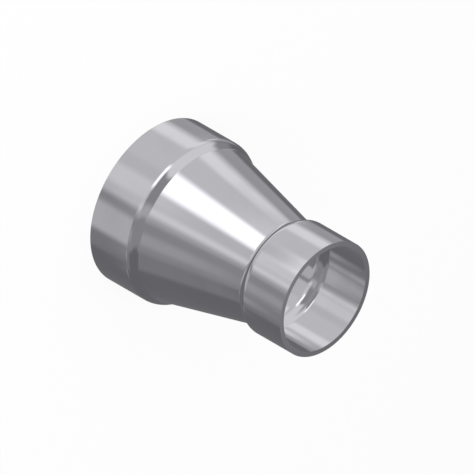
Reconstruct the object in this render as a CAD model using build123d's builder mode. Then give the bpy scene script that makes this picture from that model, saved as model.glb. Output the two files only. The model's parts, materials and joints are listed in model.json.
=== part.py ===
from build123d import *
from math import radians, tan
import os

# Duct reducer: one spun and swaged steel fitting with a wide and a narrow socket.
# It stands on its wide rim. +Z runs up the axis, and the origin is the centre of that rim.
# All sizes are in millimetres.

# Tubes that push into the sockets, outside diameters
wide_tube_diameter = 88.9
narrow_tube_diameter = 60.3

# Gap on the radius between a socket and its tube
tube_clearance = 0.35

# The wall is the same thickness all along the fitting
wall = 3.0
overall_length = 127.0

# Straight, full-bore length of each socket, from its rim to the start of its step
wide_socket_depth = 26.5
narrow_socket_depth = 26.5

# Both steps: slope from the axis, and how far they bring the outside in.
# A pushed-in tube stops where its step begins.
step_slope = 42.0
step_height = 3.2

# Bends of a step, each measured on the hollow side of the sheet
collar_bend_radius = 2.8
cone_bend_radius = 2.8

# Bevel that takes the burr off the four cut edges at the rims
rim_bevel = 0.2

# Radii of the collars and of the cone's two ends, on the outside
wide_collar_radius = wide_tube_diameter / 2 + tube_clearance + wall
narrow_collar_radius = narrow_tube_diameter / 2 + tube_clearance + wall
wide_cone_radius = wide_collar_radius - step_height
narrow_cone_radius = narrow_collar_radius - step_height
step_length = step_height / tan(radians(step_slope))

# A collar's corner stands past its straight part by the tangent length of its outer bend
outer_bend_radius = collar_bend_radius + wall
bend_tangent = outer_bend_radius * tan(radians(step_slope / 2))
wide_corner_height = wide_socket_depth + bend_tangent
narrow_corner_height = overall_length - narrow_socket_depth - bend_tangent

# The outside of the fitting from the wide rim up, as corners in radius and height
outside_corners = [
    (wide_collar_radius, 0),
    (wide_collar_radius, wide_corner_height),
    (wide_cone_radius, wide_corner_height + step_length),
    (narrow_cone_radius, narrow_corner_height - step_length),
    (narrow_collar_radius, narrow_corner_height),
    (narrow_collar_radius, overall_length),
]
outside_bends = [outer_bend_radius, cone_bend_radius, cone_bend_radius, outer_bend_radius]

with BuildPart() as reducer_body:
    with BuildSketch(Plane.XZ) as wall_section:
        with BuildLine() as sheet_line:
            FilletPolyline(*outside_corners, radius=outside_bends)
            offset(amount=wall, side=Side.LEFT)
        make_face()
    revolve(axis=Axis.Z)
    rims = reducer_body.faces().filter_by(Plane.XY)
    chamfer(rims.edges(), rim_bevel)

reducer_body.part.label = "reducer_body"

os.makedirs("parts", exist_ok=True)
export_step(reducer_body.part, "parts/reducer_body.step")
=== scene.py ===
import json
import math
from typing import NamedTuple

import bmesh
import bpy
from bpy.props import FloatProperty, FloatVectorProperty, IntProperty, PointerProperty
from mathutils import Matrix, Vector


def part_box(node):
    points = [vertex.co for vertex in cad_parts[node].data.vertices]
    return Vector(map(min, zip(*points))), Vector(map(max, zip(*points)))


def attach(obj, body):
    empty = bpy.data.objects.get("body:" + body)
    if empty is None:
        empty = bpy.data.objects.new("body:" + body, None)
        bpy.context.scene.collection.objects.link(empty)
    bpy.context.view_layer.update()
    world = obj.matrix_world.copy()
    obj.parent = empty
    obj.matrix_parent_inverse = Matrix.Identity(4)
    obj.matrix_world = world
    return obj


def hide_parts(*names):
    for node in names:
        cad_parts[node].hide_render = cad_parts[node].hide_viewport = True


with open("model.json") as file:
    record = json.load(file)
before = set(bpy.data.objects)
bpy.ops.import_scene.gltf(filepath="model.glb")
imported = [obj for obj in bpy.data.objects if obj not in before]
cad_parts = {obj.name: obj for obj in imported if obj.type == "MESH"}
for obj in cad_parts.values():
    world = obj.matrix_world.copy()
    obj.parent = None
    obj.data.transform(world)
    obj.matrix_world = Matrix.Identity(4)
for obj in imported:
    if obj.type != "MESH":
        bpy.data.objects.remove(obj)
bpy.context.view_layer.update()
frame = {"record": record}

bl_info = {
    "name": "Duct Reducer",
    "version": (1, 0, 0),
    "blender": (4, 5, 0),
    "location": "View3D > Sidebar > Duct Reducer",
    "description": "Builds a spun steel duct reducer and the plain studio that it stands in",
    "category": "Object",
}

BODY_NODE = "reducer_body"
MILLIMETRE = 0.001


def socket_bore(mount_name):
    """The radius of one of the record's two sockets, in metres."""
    for mount in frame["record"]["mounts"]:
        if mount["name"] == mount_name:
            return mount["dims"]["r_mm"] * MILLIMETRE
    raise RuntimeError(f"the record has no mount named {mount_name}")


body_low, body_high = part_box(BODY_NODE)
WIDE_BORE = socket_bore("wide_socket")
NARROW_BORE = socket_bore("narrow_socket")


# Properties

class ReducerSizes(bpy.types.PropertyGroup):
    """Sizes of the fitting's wall, in metres and radians."""

    overall_length: FloatProperty(
        name="Overall length", description="From the wide rim to the narrow rim",
        default=body_high.z, unit="LENGTH")
    wall: FloatProperty(
        name="Wall", description="Thickness of the steel, the same all along the fitting",
        default=body_high.y - WIDE_BORE, unit="LENGTH")
    wide_bore: FloatProperty(
        name="Wide bore", description="Inside radius of the wide socket",
        default=WIDE_BORE, unit="LENGTH")
    narrow_bore: FloatProperty(
        name="Narrow bore", description="Inside radius of the narrow socket",
        default=NARROW_BORE, unit="LENGTH")
    wide_depth: FloatProperty(
        name="Wide socket depth", description="Straight length of the wide socket",
        default=26.5 * MILLIMETRE, unit="LENGTH")
    narrow_depth: FloatProperty(
        name="Narrow socket depth", description="Straight length of the narrow socket",
        default=26.5 * MILLIMETRE, unit="LENGTH")
    step_slope: FloatProperty(
        name="Step slope", description="Slope of both steps, from the axis",
        default=math.radians(42.0), unit="ROTATION")
    step_height: FloatProperty(
        name="Step height", description="How far both steps bring the outside in",
        default=3.2 * MILLIMETRE, unit="LENGTH")
    collar_bend: FloatProperty(
        name="Collar bend", description="Bend between a collar and its step, on the hollow side",
        default=2.8 * MILLIMETRE, unit="LENGTH")
    cone_bend: FloatProperty(
        name="Cone bend", description="Bend between a step and the cone, on the hollow side",
        default=2.8 * MILLIMETRE, unit="LENGTH")
    rim_edge: FloatProperty(
        name="Rim edge", description="Rounding of the four cut edges",
        default=0.1 * MILLIMETRE, unit="LENGTH")
    arc_step: FloatProperty(
        name="Arc step", description="Largest turn between two neighbouring points of a bend",
        default=math.radians(3.0), unit="ROTATION")
    rim_arc_step: FloatProperty(
        name="Rim arc step", description="Largest turn between two neighbouring points of a rim edge",
        default=math.radians(18.0), unit="ROTATION")
    segments: IntProperty(
        name="Segments", description="Faces around the axis", default=384, min=24)


class SteelFinish(bpy.types.PropertyGroup):
    """Look of the bare steel."""

    colour: FloatVectorProperty(
        name="Steel", description="Colour of the clean steel", subtype="COLOR",
        default=(0.66, 0.655, 0.69), min=0.0, max=1.0)
    handled_colour: FloatVectorProperty(
        name="Handled steel", description="Colour where hands and storage have dulled the steel",
        subtype="COLOR", default=(0.63, 0.625, 0.65), min=0.0, max=1.0)
    polish: FloatProperty(
        name="Polish", description="Roughness of the clean steel", default=0.08, subtype="FACTOR")
    dulled: FloatProperty(
        name="Dulled", description="Roughness where the steel is dulled", default=0.14,
        subtype="FACTOR")
    cut_face: FloatProperty(
        name="Cut face", description="Roughness of the sawn and ground rims", default=0.3,
        subtype="FACTOR")
    ring_pitch: FloatProperty(
        name="Ring pitch", description="Spacing of the faint rings that spinning leaves",
        default=0.7 * MILLIMETRE, unit="LENGTH")
    ring_depth: FloatProperty(
        name="Ring depth", description="Height of those rings",
        default=0.0006 * MILLIMETRE, unit="LENGTH")


# An isometric view looks down by this angle
ISOMETRIC_ELEVATION = math.asin(math.tan(math.radians(30.0)))


class Studio(bpy.types.PropertyGroup):
    """Camera, floor and light."""

    azimuth: FloatProperty(
        name="Camera azimuth", description="Direction that the camera stands in, from -Y",
        default=0.0, unit="ROTATION")
    elevation: FloatProperty(
        name="Camera elevation", description="Height of the camera above the horizon",
        default=ISOMETRIC_ELEVATION, unit="ROTATION")
    roll: FloatProperty(
        name="Camera roll", description="Turn of the picture, which lays the axis down to the right",
        default=math.radians(120.0), unit="ROTATION")
    photo_side: IntProperty(
        name="Picture side", description="Width and height of the picture in pixels", default=475)
    pixel: FloatProperty(
        name="Pixel", description="Real size of one pixel of the picture",
        default=0.5268 * MILLIMETRE, unit="LENGTH")
    wide_rim_pixel: FloatVectorProperty(
        name="Wide rim in the picture", description="Pixel of the wide rim's centre, across and down",
        size=2, default=(153.8, 200.2))
    camera_distance: FloatProperty(
        name="Camera distance", description="From the middle of the picture to the camera",
        default=1.0, unit="LENGTH")
    tent_radius: FloatProperty(
        name="Tent radius", description="Size of the round light tent that the steel mirrors",
        default=0.3, unit="LENGTH")
    floor_radius: FloatProperty(
        name="Floor radius", description="Size of the round floor", default=4.0, unit="LENGTH")
    floor_colour: FloatVectorProperty(
        name="Floor", description="Colour of the pale floor", subtype="COLOR",
        default=(0.9, 0.9, 0.9), min=0.0, max=1.0)
    floor_glow: FloatProperty(
        name="Floor white", description="Share of plain white that the camera sees in the floor",
        default=0.9, subtype="FACTOR")
    ambient: FloatProperty(
        name="Ambient", description="Even light from all round", default=0.6)
    lamp_power: FloatProperty(
        name="Lamp power", description="Power of the overhead softbox lamp", default=6.0,
        unit="POWER")
    lamp_side: FloatProperty(
        name="Lamp side", description="Side of the square lamp", default=0.7, unit="LENGTH")
    lamp_distance: FloatProperty(
        name="Lamp distance", description="From the fitting to the lamp", default=1.1,
        unit="LENGTH")
    lamp_elevation: FloatProperty(
        name="Lamp elevation", description="Height of the lamp above the horizon",
        default=math.radians(62.0), unit="ROTATION")


# Shader maths

def named_socket(sockets, name):
    """A socket by its identifier, which tells apart sockets that share a label."""
    for socket in sockets:
        if socket.identifier == name:
            return socket
    raise KeyError(f"no socket {name}")


class Signal:
    """One output socket in an expression. Every operator adds a Math node."""

    def __init__(self, graph, socket):
        self.graph = graph
        self.socket = socket

    def __add__(self, other):
        return self.graph.maths("ADD", self, other)

    __radd__ = __add__

    def __sub__(self, other):
        return self.graph.maths("SUBTRACT", self, other)

    def __rsub__(self, other):
        return self.graph.maths("SUBTRACT", other, self)

    def __mul__(self, other):
        return self.graph.maths("MULTIPLY", self, other)

    __rmul__ = __mul__

    def __neg__(self):
        return self.graph.maths("MULTIPLY", self, -1.0)

    def __abs__(self):
        return self.graph.maths("ABSOLUTE", self)

    def ramp_up(self, low, high):
        """Smoothly from 0 at low to 1 at high."""
        return self.graph.signal(
            "ShaderNodeMapRange", "Result", {"interpolation_type": "SMOOTHSTEP"},
            {"Value": self, "From Min": low, "From Max": high})


class Graph:
    """Fills one node tree."""

    def __init__(self, tree):
        self.tree = tree
        tree.nodes.clear()

    def add(self, kind, settings=None, inputs=None):
        """A new node with its settings made first, then its sockets' values or links."""
        node = self.tree.nodes.new(kind)
        for name, value in (settings or {}).items():
            setattr(node, name, value)
        for name, value in (inputs or {}).items():
            socket = named_socket(node.inputs, name)
            if isinstance(value, Signal):
                self.tree.links.new(value.socket, socket)
            else:
                socket.default_value = value
        return node

    def signal(self, kind, output, settings=None, inputs=None):
        """One output of a new node, ready for an expression."""
        node = self.add(kind, settings, inputs)
        return Signal(self, named_socket(node.outputs, output))

    def maths(self, operation, *values):
        names = ("Value", "Value_001")
        return self.signal(
            "ShaderNodeMath", "Value", {"operation": operation}, dict(zip(names, values)))

    def vector_maths(self, operation, *values):
        names = ("Vector", "Vector_001")
        return self.signal(
            "ShaderNodeVectorMath", "Vector", {"operation": operation}, dict(zip(names, values)))

    def split(self, vector):
        """The X, Y and Z of a vector."""
        node = self.add("ShaderNodeSeparateXYZ", None, {"Vector": vector})
        return [Signal(self, named_socket(node.outputs, axis)) for axis in "XYZ"]

    def blend_colours(self, share, first, second):
        """first where share is 0 and second where it is 1."""
        return self.signal(
            "ShaderNodeMix", "Result_Color", {"data_type": "RGBA"},
            {"Factor_Float": share, "A_Color": first, "B_Color": second})

    def blend_shaders(self, share, first, second):
        return self.signal(
            "ShaderNodeMixShader", "Shader", None,
            {"Fac": share, "Shader": first, "Shader_001": second})

    def stretched_noise(self, position, stretch, detail, roughness=0.5):
        """Noise whose frequency along X, Y and Z is stretch, in cycles a metre."""
        scaled = self.vector_maths("MULTIPLY", position, stretch)
        return self.signal(
            "ShaderNodeTexNoise", "Fac", {"noise_dimensions": "3D"},
            {"Vector": scaled, "Scale": 1.0, "Detail": detail, "Roughness": roughness})


def opaque(colour):
    """A colour property with the alpha that a colour socket wants."""
    return (*colour, 1.0)


# Satin steel

# A face is a cut rim once its normal points this much along the axis: not yet, and fully
RIM_FACING = (0.9, 0.99)

# Noise in cycles a metre along X, Y and Z, for dulled clouds and for smears round the wall
CLOUD_CYCLES = (22.0, 22.0, 30.0)
SMEAR_CYCLES = (60.0, 60.0, 260.0)

# Cycles a metre by which the spun rings change on their way round
RING_DRIFT = 12.0

# Level of the cloud noise where dulling starts, and where it is full
CLOUD_LEVELS = (0.42, 0.72)

# Middle of the smear noise, and the roughness that its whole range adds
SMEAR_MIDDLE = 0.5
SMEAR_ROUGHNESS = 0.05


def satin_steel(finish):
    """Bare steel: spun rings, a dulled cloud here and there, and ground rims."""
    material = bpy.data.materials.new("satin_steel")
    material.use_nodes = True
    graph = Graph(material.node_tree)

    place = graph.signal("ShaderNodeTexCoord", "Object")
    normal = graph.signal("ShaderNodeNewGeometry", "Normal")
    facing_up = graph.split(normal)[2]
    rim = abs(facing_up).ramp_up(*RIM_FACING)

    cloud = graph.stretched_noise(place, CLOUD_CYCLES, detail=4.0, roughness=0.6)
    dulled = cloud.ramp_up(*CLOUD_LEVELS)
    smear = graph.stretched_noise(place, SMEAR_CYCLES, detail=3.0)

    rings_a_metre = 1.0 / finish.ring_pitch
    rings = graph.stretched_noise(place, (RING_DRIFT, RING_DRIFT, rings_a_metre), detail=1.0)

    colour = graph.blend_colours(dulled, opaque(finish.colour), opaque(finish.handled_colour))
    wall_roughness = finish.polish + dulled * (finish.dulled - finish.polish)
    wall_roughness = wall_roughness + (smear - SMEAR_MIDDLE) * SMEAR_ROUGHNESS
    roughness = wall_roughness + rim * (finish.cut_face - wall_roughness)

    relief = graph.signal(
        "ShaderNodeBump", "Normal", None,
        {"Strength": 1.0, "Distance": finish.ring_depth, "Height": rings})
    steel = graph.signal(
        "ShaderNodeBsdfPrincipled", "BSDF", None,
        {"Base Color": colour, "Metallic": 1.0, "Roughness": roughness, "Normal": relief})
    graph.add("ShaderNodeOutputMaterial", None, {"Surface": steel})
    return material


# Fitting

def offset_chain(corners, distance):
    """The open chain of corners moved to its left by distance."""
    directions = [(b - a).normalized() for a, b in zip(corners, corners[1:])]
    lefts = [Vector((-d.y, d.x)) for d in directions]
    moved = [corners[0] + lefts[0] * distance]
    for corner, before, after in zip(corners[1:], lefts, lefts[1:]):
        moved.append(corner + (before + after) * (distance / (1.0 + before.dot(after))))
    moved.append(corners[-1] + lefts[-1] * distance)
    return moved


def wall_corners(sizes):
    """Corners of the wall's section and their radii: up the outside, then down the inside."""
    outer_bend = sizes.collar_bend + sizes.wall
    tangent = outer_bend * math.tan(sizes.step_slope / 2)
    step_length = sizes.step_height / math.tan(sizes.step_slope)
    wide_corner = sizes.wide_depth + tangent
    narrow_corner = sizes.overall_length - sizes.narrow_depth - tangent
    wide_collar = sizes.wide_bore + sizes.wall
    narrow_collar = sizes.narrow_bore + sizes.wall
    outside = [
        Vector((wide_collar, 0.0)),
        Vector((wide_collar, wide_corner)),
        Vector((wide_collar - sizes.step_height, wide_corner + step_length)),
        Vector((narrow_collar - sizes.step_height, narrow_corner - step_length)),
        Vector((narrow_collar, narrow_corner)),
        Vector((narrow_collar, sizes.overall_length)),
    ]
    inside = offset_chain(outside, sizes.wall)
    inner_cone_bend = sizes.cone_bend + sizes.wall
    outside_radii = [
        sizes.rim_edge, outer_bend, sizes.cone_bend, sizes.cone_bend, outer_bend, sizes.rim_edge]
    inside_radii = [
        sizes.rim_edge, sizes.collar_bend, inner_cone_bend, inner_cone_bend, sizes.collar_bend,
        sizes.rim_edge]
    return outside + inside[::-1], outside_radii + inside_radii[::-1]


def rounded_outline(sizes):
    """Points of the wall's section with their outward normals, as pairs of radius and height."""
    corners, radii = wall_corners(sizes)
    points = []
    for index, (corner, radius) in enumerate(zip(corners, radii)):
        arriving = (corner - corners[index - 1]).normalized()
        leaving = (corners[(index + 1) % len(corners)] - corner).normalized()
        turn = math.atan2(arriving.cross(leaving), arriving.dot(leaving))
        largest = sizes.rim_arc_step if radius == sizes.rim_edge else sizes.arc_step
        steps = math.ceil(abs(turn) / largest)
        start = corner - arriving * (radius * math.tan(abs(turn) / 2))
        side = math.copysign(1.0, turn)
        centre = start + Vector((-arriving.y, arriving.x)) * (radius * side)
        for step in range(steps + 1):
            along = Matrix.Rotation(turn * step / steps, 2) @ arriving
            outward = Vector((along.y, -along.x))
            points.append((centre + outward * (radius * side), outward))
    return points


def lathe(name, outline, segments):
    """A closed ring of faces: the outline turned about Z, with exact normals."""
    vertices, normals, faces = [], [], []
    for segment in range(segments):
        angle = 2.0 * math.pi * segment / segments
        cosine, sine = math.cos(angle), math.sin(angle)
        for point, outward in outline:
            vertices.append((point.x * cosine, point.x * sine, point.y))
            normals.append((outward.x * cosine, outward.x * sine, outward.y))
    count = len(outline)
    for segment in range(segments):
        here = segment * count
        there = (segment + 1) % segments * count
        for index in range(count):
            following = (index + 1) % count
            faces.append((here + index, there + index, there + following, here + following))
    mesh = bpy.data.meshes.new(name)
    mesh.from_pydata(vertices, [], faces)
    mesh.shade_smooth()
    mesh.normals_split_custom_set_from_vertices(normals)
    mesh.validate()
    return mesh


class REDUCER_OT_shell(bpy.types.Operator):
    """Turn the fitting's wall about its axis and give it its satin steel"""

    bl_idname = "reducer.shell"
    bl_label = "Fitting"

    def execute(self, context):
        sizes = context.scene.reducer_sizes
        mesh = lathe("reducer_shell", rounded_outline(sizes), sizes.segments)
        mesh.materials.append(satin_steel(context.scene.reducer_finish))
        shell = bpy.data.objects.new("reducer_shell", mesh)
        context.scene.collection.objects.link(shell)
        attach(shell, "root")
        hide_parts(BODY_NODE)
        shell.visible_glossy = False
        return {"FINISHED"}


# Studio

class SoftPanel(NamedTuple):
    """A soft panel on the light tent, in degrees round the fitting and above the horizon.

    It spans start to end round the fitting, where 0 is -Y and 90 is +X, and low to high above
    the horizon. Its light adds to what it lies over.
    """

    start: float
    end: float
    low: float
    high: float
    light: float


# Sides of the round floor and of the round tent
STAGE_SIDES = 96

# Light of the bare cloth
TENT_FILL = (0.18, 0.18, 0.19)

# Degrees by which a panel's light fades on each side of its edge
PANEL_EDGE = 5.0

# A panel that reaches past 180 at the back, or 90 at the top, has no edge there
TENT_PANELS = {
    "left wall": SoftPanel(-105, -35, -90, 60, 0.53),
    "upper left wall": SoftPanel(-125, -35, 5, 60, 0.15),
    "left strip": SoftPanel(-98, -78, -90, 0, 0.25),
    "far left wall": SoftPanel(-135, -105, -90, 0, 0.25),
    "left glint": SoftPanel(-122, -107, -25, -20, 0.8),
    "front wall": SoftPanel(-35, 18, -90, 13, 0.47),
    "front ceiling": SoftPanel(-35, 20, 12, 60, 0.15),
    "front strip": SoftPanel(-18, 5, -35, 0, 0.15),
    "key": SoftPanel(-42, -12, -10, 15, 0.9),
    "right wall": SoftPanel(20, 65, -90, 60, 0.15),
    "right strip": SoftPanel(8, 25, -25, 60, 0.2),
    "low right wall": SoftPanel(30, 65, -90, -20, 0.25),
    "right card": SoftPanel(40, 55, -20, 5, 0.1),
    "right corner": SoftPanel(65, 90, -90, 5, 0.08),
    "low right glint": SoftPanel(68, 80, -25, -15, 0.2),
    "right glint": SoftPanel(92, 106, -25, -20, 0.3),
    "ceiling": SoftPanel(-190, 190, 60, 95, 0.2),
    "back wall, left half": SoftPanel(-190, -150, 10, 35, 0.35),
    "back wall, right half": SoftPanel(150, 190, 10, 35, 0.35),
}


def band(angle, start, end):
    """1 between two angles in degrees and 0 outside them, with a soft edge at both."""
    rise = angle.ramp_up(math.radians(start - PANEL_EDGE), math.radians(start + PANEL_EDGE))
    fall = angle.ramp_up(math.radians(end - PANEL_EDGE), math.radians(end + PANEL_EDGE))
    return rise * (1.0 - fall)


def tent_cloth():
    """Lit cloth: a plain fill all round and the soft panels over it."""
    material = bpy.data.materials.new("tent_cloth")
    material.use_nodes = True
    material.cycles.emission_sampling = "NONE"
    graph = Graph(material.node_tree)
    place = graph.signal("ShaderNodeTexCoord", "Object")
    east, north, up = graph.split(graph.vector_maths("NORMALIZE", place))
    round_angle = graph.maths("ARCTAN2", east, -north)
    height_angle = graph.maths("ARCSINE", up)
    light = 0.0
    for panel in TENT_PANELS.values():
        across = band(round_angle, panel.start, panel.end)
        above = band(height_angle, panel.low, panel.high)
        light = across * above * panel.light + light
    shown = graph.vector_maths("ADD", light, TENT_FILL)
    cloth = graph.signal(
        "ShaderNodeBsdfPrincipled", "BSDF", None,
        {"Base Color": opaque((0.0, 0.0, 0.0)), "Specular IOR Level": 0.0,
         "Emission Color": shown, "Emission Strength": 1.0})
    graph.add("ShaderNodeOutputMaterial", None, {"Surface": cloth})
    return material


def add_tent(context, studio):
    """A round light tent that only the steel's reflections meet."""
    form = bmesh.new()
    bmesh.ops.create_uvsphere(
        form, u_segments=STAGE_SIDES, v_segments=STAGE_SIDES // 2, radius=studio.tent_radius)
    mesh = bpy.data.meshes.new("light_tent")
    form.to_mesh(mesh)
    form.free()
    mesh.materials.append(tent_cloth())
    tent = bpy.data.objects.new("light_tent", mesh)
    context.scene.collection.objects.link(tent)
    tent.visible_camera = False
    tent.visible_diffuse = False
    tent.visible_transmission = False
    tent.visible_shadow = False


def studio_world(studio):
    """White for the camera and even light for everything else."""
    world = bpy.data.worlds.new("studio")
    world.use_nodes = True
    world.cycles.sampling_method = "NONE"
    graph = Graph(world.node_tree)
    white = opaque((1.0, 1.0, 1.0))
    even = graph.signal(
        "ShaderNodeBackground", "Background", None, {"Color": white, "Strength": studio.ambient})
    seen = graph.signal(
        "ShaderNodeBackground", "Background", None, {"Color": white, "Strength": 1.0})
    is_camera = graph.signal("ShaderNodeLightPath", "Is Camera Ray")
    surface = graph.blend_shaders(is_camera, even, seen)
    graph.add("ShaderNodeOutputWorld", None, {"Surface": surface})
    return world


def floor_paper(studio):
    """Pale paper that the camera sees near white, with the fitting's shadow on it."""
    material = bpy.data.materials.new("floor_paper")
    material.use_nodes = True
    graph = Graph(material.node_tree)
    paper = graph.signal(
        "ShaderNodeBsdfDiffuse", "BSDF", None, {"Color": opaque(studio.floor_colour)})
    white = graph.signal(
        "ShaderNodeEmission", "Emission", None, {"Color": opaque((1.0, 1.0, 1.0)), "Strength": 1.0})
    is_camera = graph.signal("ShaderNodeLightPath", "Is Camera Ray")
    surface = graph.blend_shaders(is_camera * studio.floor_glow, paper, white)
    graph.add("ShaderNodeOutputMaterial", None, {"Surface": surface})
    return material


def add_floor(context, studio):
    """A round floor at the height of the wide rim. The steel mirrors the tent past it."""
    turns = (2.0 * math.pi * step / STAGE_SIDES for step in range(STAGE_SIDES))
    edge = [(math.cos(turn) * studio.floor_radius, math.sin(turn) * studio.floor_radius, body_low.z)
            for turn in turns]
    mesh = bpy.data.meshes.new("floor")
    mesh.from_pydata(edge, [], [tuple(range(STAGE_SIDES))])
    mesh.materials.append(floor_paper(studio))
    floor = bpy.data.objects.new("floor", mesh)
    context.scene.collection.objects.link(floor)
    floor.visible_glossy = False


def add_lamp(context, studio):
    """One big soft lamp above the camera's side, for the floor's shadow."""
    light = bpy.data.lights.new("overhead_softbox", "AREA")
    light.shape = "SQUARE"
    light.size = studio.lamp_side
    light.energy = studio.lamp_power
    lamp = bpy.data.objects.new("overhead_softbox", light)
    context.scene.collection.objects.link(lamp)
    toward = Vector((0.0, -math.cos(studio.lamp_elevation), math.sin(studio.lamp_elevation)))
    lamp.location = toward * studio.lamp_distance
    lamp.rotation_mode = "QUATERNION"
    lamp.rotation_quaternion = (-toward).to_track_quat("-Z", "Y")
    lamp.visible_glossy = False


def add_camera(context, studio):
    """A camera with parallel rays, turned so that the axis runs down to the right."""
    view = bpy.data.cameras.new("camera")
    view.type = "ORTHO"
    view.ortho_scale = studio.photo_side * studio.pixel
    camera = bpy.data.objects.new("camera", view)
    context.scene.collection.objects.link(camera)
    turn = (
        Matrix.Rotation(studio.azimuth, 3, "Z")
        @ Matrix.Rotation(math.pi / 2 - studio.elevation, 3, "X")
        @ Matrix.Rotation(studio.roll, 3, "Z"))
    middle = (studio.photo_side - 1) / 2
    across = (middle - studio.wide_rim_pixel[0]) * studio.pixel
    down = (middle - studio.wide_rim_pixel[1]) * studio.pixel
    aim = turn @ Vector((across, -down, studio.camera_distance))
    camera.matrix_world = Matrix.Translation(aim) @ turn.to_4x4()
    context.scene.camera = camera


class REDUCER_OT_studio(bpy.types.Operator):
    """Set up the pale floor, the soft light and the camera"""

    bl_idname = "reducer.studio"
    bl_label = "Studio"

    def execute(self, context):
        studio = context.scene.reducer_studio
        context.scene.world = studio_world(studio)
        context.scene.view_settings.view_transform = "Standard"
        add_tent(context, studio)
        add_floor(context, studio)
        add_lamp(context, studio)
        add_camera(context, studio)
        return {"FINISHED"}


# Sidebar panel and registration

class REDUCER_PT_sidebar(bpy.types.Panel):
    """Lists the fitting's and the studio's tools and values"""

    bl_idname = "REDUCER_PT_sidebar"
    bl_label = "Duct Reducer"
    bl_space_type = "VIEW_3D"
    bl_region_type = "UI"
    bl_category = "Duct Reducer"

    def draw(self, context):
        for operator, group in (
            (REDUCER_OT_shell, context.scene.reducer_sizes),
            (REDUCER_OT_shell, context.scene.reducer_finish),
            (REDUCER_OT_studio, context.scene.reducer_studio),
        ):
            box = self.layout.box()
            box.operator(operator.bl_idname)
            for name in group.bl_rna.properties.keys():
                if name not in ("rna_type", "name"):
                    box.prop(group, name)


CLASSES = (
    ReducerSizes,
    SteelFinish,
    Studio,
    REDUCER_OT_shell,
    REDUCER_OT_studio,
    REDUCER_PT_sidebar,
)


def register():
    for cls in CLASSES:
        bpy.utils.register_class(cls)
    bpy.types.Scene.reducer_sizes = PointerProperty(type=ReducerSizes)
    bpy.types.Scene.reducer_finish = PointerProperty(type=SteelFinish)
    bpy.types.Scene.reducer_studio = PointerProperty(type=Studio)


def unregister():
    del bpy.types.Scene.reducer_studio
    del bpy.types.Scene.reducer_finish
    del bpy.types.Scene.reducer_sizes
    for cls in reversed(CLASSES):
        bpy.utils.unregister_class(cls)


def main():
    register()
    bpy.ops.reducer.shell()
    bpy.ops.reducer.studio()


if __name__ == "__main__":
    main()
